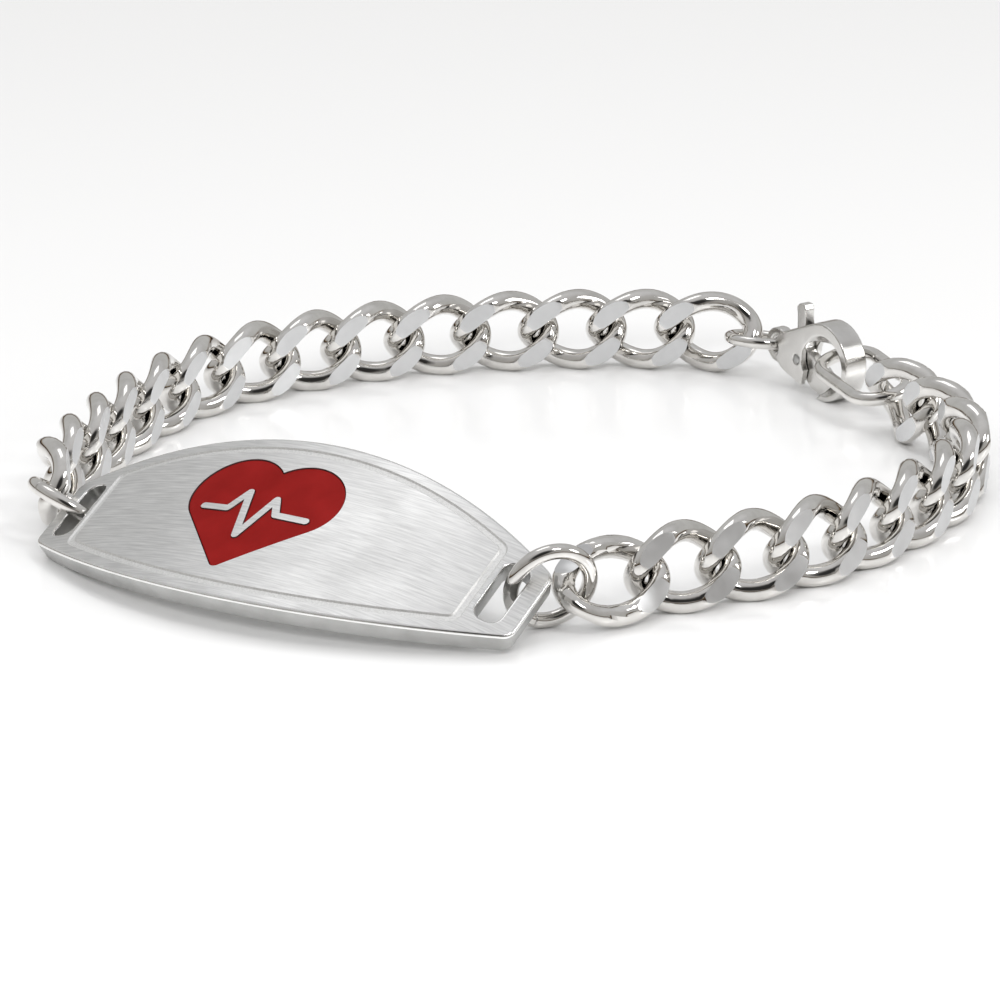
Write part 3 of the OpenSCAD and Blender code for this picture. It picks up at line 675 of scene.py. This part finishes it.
def curbLinkTree():
    tree = bpy.data.node_groups.new("curbLinks", "GeometryNodeTree")
    tree.interface.new_socket(name="Places", in_out="INPUT", socket_type="NodeSocketGeometry")
    for name, value in linkSizes.items():
        size = tree.interface.new_socket(name=name, in_out="INPUT", socket_type="NodeSocketFloat")
        size.default_value = value
    tree.interface.new_socket(name="Links", in_out="OUTPUT", socket_type="NodeSocketGeometry")
    given = addNode(tree, "NodeGroupInput").outputs
    result = addNode(tree, "NodeGroupOutput")

    def calc(op, *values):
        return addNode(tree, "ShaderNodeMath", dict(enumerate(values)), operation=op).outputs[0]

    def vector(op, *values, scale=None):
        n = addNode(tree, "ShaderNodeVectorMath", dict(enumerate(values)), operation=op)
        if scale is not None:
            tree.links.new(scale, n.inputs["Scale"])
        return n.outputs["Vector"]

    def xyz(x, y, z):
        return addNode(tree, "ShaderNodeCombineXYZ", {0: x, 1: y, 2: z}).outputs[0]

    def parts(v):
        return addNode(tree, "ShaderNodeSeparateXYZ", {0: v}).outputs

    def times(a, b):
        return calc("MULTIPLY", a, b)

    def minus(a, b):
        return calc("SUBTRACT", a, b)

    a, b, r = given["Half Length"], given["Half Width"], given["Wire Radius"]
    flat, twist = given["Half Thickness"], given["Twist"]
    bends, rounds = 72, 28
    grid = addNode(tree, "GeometryNodeMeshGrid",
                   {"Size X": 1.0, "Size Y": 1.0, "Vertices X": bends + 1, "Vertices Y": rounds + 1})
    position = addNode(tree, "GeometryNodeInputPosition").outputs[0]
    at = parts(position)
    t = times(calc("ADD", at[0], 0.5), 2 * pi)
    v = times(calc("ADD", at[1], 0.5), 4.0)

    # the oval's middle line and its direction
    ct, st = calc("COSINE", t), calc("SINE", t)
    h = times(b, st)
    w = times(times(twist, ct), -1.0)
    cw, sw = calc("COSINE", w), calc("SINE", w)
    midY = times(times(h, sw), -1.0)
    centre = xyz(times(a, ct), midY, times(h, cw))
    dh, dw = times(b, ct), times(twist, st)
    hdw = times(h, dw)
    dx = times(times(a, st), -1.0)
    dy = times(calc("ADD", times(dh, sw), times(hdw, cw)), -1.0)
    dz = minus(times(dh, cw), times(hdw, sw))
    ahead = vector("NORMALIZE", xyz(dx, dy, dz))
    out = vector("NORMALIZE", vector("ADD", vector("SCALE", ahead, scale=parts(ahead)[1]), (0.0, -1.0, 0.0)))
    side = vector("CROSS_PRODUCT", ahead, out)

    # the wire's section: its corners lie where the ground faces cut it
    room = calc("DIVIDE", minus(flat, calc("ABSOLUTE", midY)), times(r, calc("ABSOLUTE", parts(out)[1])))
    half = calc("MAXIMUM", calc("ARCCOSINE", calc("MINIMUM", room, 1.0)), radians(9))
    sector = calc("MINIMUM", calc("FLOOR", v), 3.0)
    share = minus(v, sector)
    even = calc("FLOOR", times(sector, 0.5))
    odd = minus(sector, times(even, 2.0))
    begin = times(half, minus(times(odd, 2.0), 1.0))
    groundSpan = times(half, 2.0)
    span = calc("ADD", times(odd, minus(pi, groundSpan)), times(minus(1.0, odd), groundSpan))
    angle = calc("ADD", calc("ADD", times(even, pi), begin), times(share, span))
    edge = vector("ADD", vector("SCALE", out, scale=times(r, calc("COSINE", angle))),
                  vector("SCALE", side, scale=times(r, calc("SINE", angle))))
    p = parts(vector("ADD", centre, edge))
    y = calc("MAXIMUM", calc("MINIMUM", p[1], flat), times(flat, -1.0))
    shaped = addNode(tree, "GeometryNodeSetPosition",
                     {"Geometry": grid.outputs["Mesh"], "Position": xyz(p[0], y, p[2])})

    # the ground faces are marked where the wire meets the flats
    ground = calc("GREATER_THAN", calc("ABSOLUTE", at[1]), minus(flat, 1e-7))
    marked = addNode(tree, "GeometryNodeStoreNamedAttribute",
                     {"Geometry": shaped.outputs[0], "Name": "ground", "Value": ground},
                     data_type="FLOAT", domain="FACE")
    welded = addNode(tree, "GeometryNodeMergeByDistance", {"Geometry": marked.outputs[0], "Distance": 1e-7})

    # a further roll about the link's length, for the link that takes the ring
    u = calc("DIVIDE", calc("ADD", at[0], a), times(a, 2.0))
    v1, v2 = minus(1.0, u), minus(1.0, times(u, 2.0))
    nearRoll = times(given["Roll At Ring"], times(v1, v2))
    midRoll = times(given["Roll At Middle"], times(times(u, v1), 4.0))
    farRoll = times(given["Roll At Far End"], times(u, v2))
    roll = minus(calc("ADD", nearRoll, midRoll), farRoll)
    turned = addNode(tree, "ShaderNodeVectorRotate", {"Vector": position, "Angle": times(roll, -1.0)},
                     rotation_type="X_AXIS").outputs[0]
    rolled = addNode(tree, "GeometryNodeSetPosition", {"Geometry": welded.outputs[0], "Position": turned})

    # one link for each place, with its own turn
    spin = addNode(tree, "GeometryNodeInputNamedAttribute", {"Name": "turn"}, data_type="FLOAT_VECTOR")
    placed = addNode(tree, "GeometryNodeInstanceOnPoints",
                     {"Points": given["Places"], "Instance": rolled.outputs[0],
                      "Rotation": spin.outputs["Attribute"]})
    real = addNode(tree, "GeometryNodeRealizeInstances", {"Geometry": placed.outputs[0]})
    wired = addNode(tree, "GeometryNodeSetMaterial", {"Geometry": real.outputs[0], "Material": wireSteel})
    mark = addNode(tree, "GeometryNodeInputNamedAttribute", {"Name": "ground"}, data_type="FLOAT")
    picked = calc("GREATER_THAN", mark.outputs["Attribute"], 0.5)
    faced = addNode(tree, "GeometryNodeSetMaterial",
                    {"Geometry": wired.outputs[0], "Selection": picked, "Material": facetSteel})
    tree.links.new(faced.outputs[0], result.inputs[0])
    return tree


linkTree = curbLinkTree()


def meshMade(holder):   # what the modifiers make, as a mesh of its own
    made = bpy.data.meshes.new_from_object(holder.evaluated_get(bpy.context.evaluated_depsgraph_get()))
    bpy.data.objects.remove(holder)
    return made


def linkLean(n):
    if n == 1:
        return 0
    return (chain["lean"] * max(0, 1 - (n - 2) / chain["leanLinks"])
            - chain["lastLean"] * max(0, 1 - (count - n) / chain["lastLeanLinks"]))


def linkShift(n):   # a link beside a ring or the end link sits off the middle of its stretch
    shift = (chain["play"] - chain["gap"]) / 4
    if n == 1:
        return -shift - chain["firstBack"]
    if n == before + 1:
        return -shift
    return shift if n in (before, count) else 0


def layLinks(name, numbers, settings):
    places, turns = [], []
    for n in numbers:
        i = n - 1 if n <= before else n + 2
        heading, shift = runHeading(i), linkShift(n)
        slope = -chain["firstRise"] if n == 1 else 0
        turned = turnZ(heading) @ turnY(slope) @ turnX(-linkLean(n))
        at = np.array([*runMid(i), 0]) + turned @ np.array([shift, 0, 0])
        places.append([at[0], at[1], 0])
        turns.append((radians(-linkLean(n)), radians(slope), radians(heading)))
    mesh = bpy.data.meshes.new(name + "_places")
    mesh.from_pydata([[v * mm for v in p] for p in places], [], [])
    turn = mesh.attributes.new("turn", "FLOAT_VECTOR", "POINT")
    turn.data.foreach_set("vector", np.array(turns, np.float32).ravel())
    holder = bpy.data.objects.new(name + "_places", mesh)
    scene.collection.objects.link(holder)
    modifier = holder.modifiers.new("curbLinks", "NODES")
    modifier.node_group = linkTree
    for item in linkTree.interface.items_tree:
        if item.item_type == "SOCKET" and item.in_out == "INPUT" and item.name in settings:
            modifier[item.identifier] = settings[item.name]
    return meshMade(holder)


def settle(mesh, numbers):   # each link takes the height that its solid has
    perLink = len(mesh.vertices) // len(numbers)
    co = np.empty(len(mesh.vertices) * 3, np.float32)
    mesh.vertices.foreach_get("co", co)
    co = co.reshape(len(numbers), perLink, 3)
    for k, n in enumerate(numbers):
        low, high = boxOf("link_%02d" % n)
        co[k, :, 2] += (low[2] + high[2]) / 2 * mm - (co[k, :, 2].min() + co[k, :, 2].max()) / 2
        drift = (co[k].min(0) + co[k].max(0)) / 2 / mm - (low + high) / 2
        if max(abs(drift)) > 0.1:
            print("link", n, "is off its solid by", [round(float(d), 3) for d in drift])
    mesh.vertices.foreach_set("co", co.ravel())


def chainPiece(name, numbers, settings):
    mesh = layLinks(name, numbers, settings)
    settle(mesh, numbers)
    b = bmesh.new()
    b.from_mesh(mesh)
    bmesh.ops.recalc_face_normals(b, faces=b.faces)
    b.to_mesh(mesh)
    b.free()
    mesh.shade_smooth()
    mesh.set_sharp_from_angle(angle=radians(24))
    return finishPiece(name, mesh, ["link_%02d" % n for n in numbers], "bracelet")


chainPiece("curb_chain", list(range(2, count + 1)), {})
rollNames = ("Roll At Ring", "Roll At Middle", "Roll At Far End")
chainPiece("first_link", [1], dict(zip(rollNames, map(radians, chain["firstRoll"]))))
print("chain made")


# The plain end link and the clasp's ring
def endLink():
    i = before
    bend, straight = (clasp["endWidth"] - clasp["endWire"]) / 2, clasp["endLength"] - clasp["endWidth"]
    path, out = [], []
    for start, x in ((-90, straight / 2), (90, -straight / 2)):
        for a in np.radians(np.linspace(start, start + 180, 37)):
            path.append((x + bend * cos(a), bend * sin(a), 0))
            out.append((cos(a), sin(a), 0))
        for k in range(1, 12):
            path.append((x * (1 - k / 6), bend * sin(radians(start + 180)), 0))
            out.append((0, sin(radians(start + 180)), 0))
    slope = degrees(asin((clasp["endLift"] - clasp["endFarLift"]) / (clasp["endLength"] - clasp["endWire"])))
    turned = turnZ(runHeading(i)) @ turnY(-slope) @ turnX(clasp["endTilt"])
    low, high = boxOf("end_link")
    radii = [clasp["endWire"] / 2 - clasp["endEase"]] * len(path)
    wireLoop("plain_end_link", path, out, radii, turned, (low + high) / 2, "end_link")


endLink()
jumpRing("ring_clasp", "clasp_ring", rings["claspDiameter"], rings["claspWire"], rings["claspTilt"],
         runHeading(before + 2), rings["claspJoint"])


# Clasp: the cast pieces have the solids' forms with every edge tumbled round
def tumbled(name, node, body, size, passes):
    source = nodes[node].data
    mesh = bpy.data.meshes.new(name)
    b = bmesh.new()
    b.from_mesh(source)
    bmesh.ops.remove_doubles(b, verts=b.verts, dist=1e-6)
    b.to_mesh(mesh)
    b.free()
    holder = bpy.data.objects.new(name + "_rough", mesh)
    scene.collection.objects.link(holder)
    shell = holder.modifiers.new("shell", "REMESH")
    shell.mode = "VOXEL"
    shell.voxel_size = size * mm
    soft = holder.modifiers.new("soft", "SMOOTH")
    soft.factor, soft.iterations = 0.5, passes
    made = meshMade(holder)
    made.materials.clear()
    made.materials.append(castSteel)
    made.shade_smooth()
    return finishPiece(name, made, [node], body)


shell = tumbled("clasp_shell", "clasp_body", "bracelet", *clasp["shell"])
lever = tumbled("clasp_thumb_lever", "clasp_lever", "lever", *clasp["lever"])
print("clasp", len(shell.data.polygons), "lever", len(lever.data.polygons))


def pinPiece():
    i = before + 1
    low, high = boxOf("clasp_pin")
    r, h = clasp["pin"], clasp["thickness"] / 2
    # domed ends, each from its middle over a shoulder to the pin's side
    profile = [(0, -h - 0.03), (r * 0.55, -h - 0.022), (r * 0.85, -h), (r, -h + 0.06),
               (r, h - 0.06), (r * 0.85, h), (r * 0.55, h + 0.022), (0, h + 0.03)]
    points, faces = [(0, profile[0][1], 0)], []
    n = 32
    for pr, py in profile[1:-1]:
        points += [(pr * cos(2 * pi * k / n), py, pr * sin(2 * pi * k / n)) for k in range(n)]
    points.append((0, profile[-1][1], 0))
    last = len(points) - 1
    rows = len(profile) - 2
    for k in range(n):
        m = (k + 1) % n
        faces.append((0, 1 + k, 1 + m))
        faces.append((last, 1 + (rows - 1) * n + m, 1 + (rows - 1) * n + k))
        for q in range(rows - 1):
            faces.append((1 + q * n + k, 1 + (q + 1) * n + k, 1 + (q + 1) * n + m, 1 + q * n + m))
    turned = turnZ(runHeading(i) + 180)
    points = np.array(points) @ turned.T + (low + high) / 2
    makePiece("hinge_pin", points, faces, [steelEdge], ["clasp_pin"], sharp=50)


pinPiece()

# Floor, light and surroundings: white floor, soft light from above, a dark low horizon
studio = {
    "floorTones": ((0.925, 0.925, 0.925), (0.93, 0.93, 0.93)), "gloss": 0.16, "floorSize": 1.6,
    # the unlit room behind the camera: its way, where it begins and ends, and its tone
    "darkWay": (0.10, -0.81, 0.57), "darkWidth": (0.88, 0.96), "darkness": 0.08,
    # the room's tone by height, from a little below the horizon to straight up
    "height": [
        (0.0, (0.30, 0.28, 0.26)), (0.12, (0.22, 0.15, 0.09)), (0.15, (0.035, 0.020, 0.010)),
        (0.215, (0.04, 0.024, 0.012)), (0.235, (0.24, 0.17, 0.10)), (0.27, (0.42, 0.41, 0.40)),
        (0.36, (0.55, 0.55, 0.54)), (0.72, (0.55, 0.55, 0.55)), (0.86, (0.62, 0.62, 0.63)),
        (1.0, (0.68, 0.68, 0.69)),
    ],
    # and from the camera's side to the far side
    "front": [
        (0.0, (0.62, 0.60, 0.58)), (0.3, (0.9, 0.89, 0.88)), (0.6, (1.0, 1.0, 1.0)), (1.0, (1.0, 1.0, 1.0)),
    ],
}
# The last two only whiten the floor: the steel doesn't mirror them
softboxes = {
    "overhead": {"place": (-0.11, 0.215, 0.575), "target": (-0.01, -0.02, 0), "size": (0.24, 0.23),
                 "bright": 1.0},
    "key": {"place": (0.28, -0.26, 0.46), "target": (0, 0, 0), "size": (0.14, 0.14), "bright": 10.0},
    "rightSide": {"place": (0.55, -0.12, 0.26), "target": (0, 0, 0), "size": (0.12, 0.2), "bright": 6.0},
    "floorFill": {"place": (0.0, 0.34, 1.0), "target": (0, 0.12, 0), "size": (1.1, 1.1), "bright": 1.2,
                  "mirrored": False},
    "frontFill": {"place": (-0.10, -0.44, 0.30), "target": (-0.02, -0.03, 0), "size": (0.36, 0.16),
                  "bright": 7.5, "mirrored": False},
}

floorMesh = bpy.data.meshes.new("floor")
half = studio["floorSize"]
corners = [(-half, -half, 0), (half, -half, 0), (half, half, 0), (-half, half, 0)]
floorMesh.from_pydata(corners, [], [(0, 1, 2, 3)])
floor = bpy.data.objects.new("floor", floorMesh)
scene.collection.objects.link(floor)
floorMaterial, t, b = newMaterial("glossyFloor")
at = addNode(t, "ShaderNodeTexCoord").outputs["Object"]
b.inputs["Roughness"].default_value = studio["gloss"]
dress(t, b, noise(t, at, 3), list(zip((0.3, 0.7), studio["floorTones"])))
floorMesh.materials.append(floorMaterial)


def softbox(name, place, target, size, bright, mirrored=True):
    light = bpy.data.lights.new(name, "AREA")
    light.shape, light.size, light.size_y = "RECTANGLE", size[0], size[1]
    light.energy = bright * pi * size[0] * size[1]
    o = bpy.data.objects.new(name, light)
    o.location = place
    o.rotation_euler = (Vector(target) - Vector(place)).to_track_quat("-Z", "Y").to_euler()
    o.visible_glossy = mirrored
    scene.collection.objects.link(o)


for name, settings in softboxes.items():
    softbox(name, **settings)

world = bpy.data.worlds.new("studio")
scene.world = world
world.use_nodes = True
t = world.node_tree
ways = addNode(t, "ShaderNodeTexCoord").outputs["Generated"]
up = addNode(t, "ShaderNodeSeparateXYZ", {0: ways}).outputs
height = colourRamp(t, ramp(t, up[2], -0.2, 1, 0, 1), studio["height"])
front = colourRamp(t, ramp(t, up[1], -1, 1, 0, 1), studio["front"])
mixed = addNode(t, "ShaderNodeMix", {0: 1.0, 6: height, 7: front}, data_type="RGBA", blend_type="MULTIPLY")
toDark = addNode(t, "ShaderNodeVectorMath", {0: ways, 1: studio["darkWay"]}, operation="DOT_PRODUCT")
shade = ramp(t, toDark.outputs["Value"], *studio["darkWidth"], 1.0, studio["darkness"])
shaded = addNode(t, "ShaderNodeVectorMath", {0: mixed.outputs[2], "Scale": shade}, operation="SCALE")
background = t.nodes["Background"]
t.links.new(shaded.outputs[0], background.inputs[0])
background.inputs[1].default_value = 1.0
scene.view_settings.view_transform = "Standard"
print("studio made")
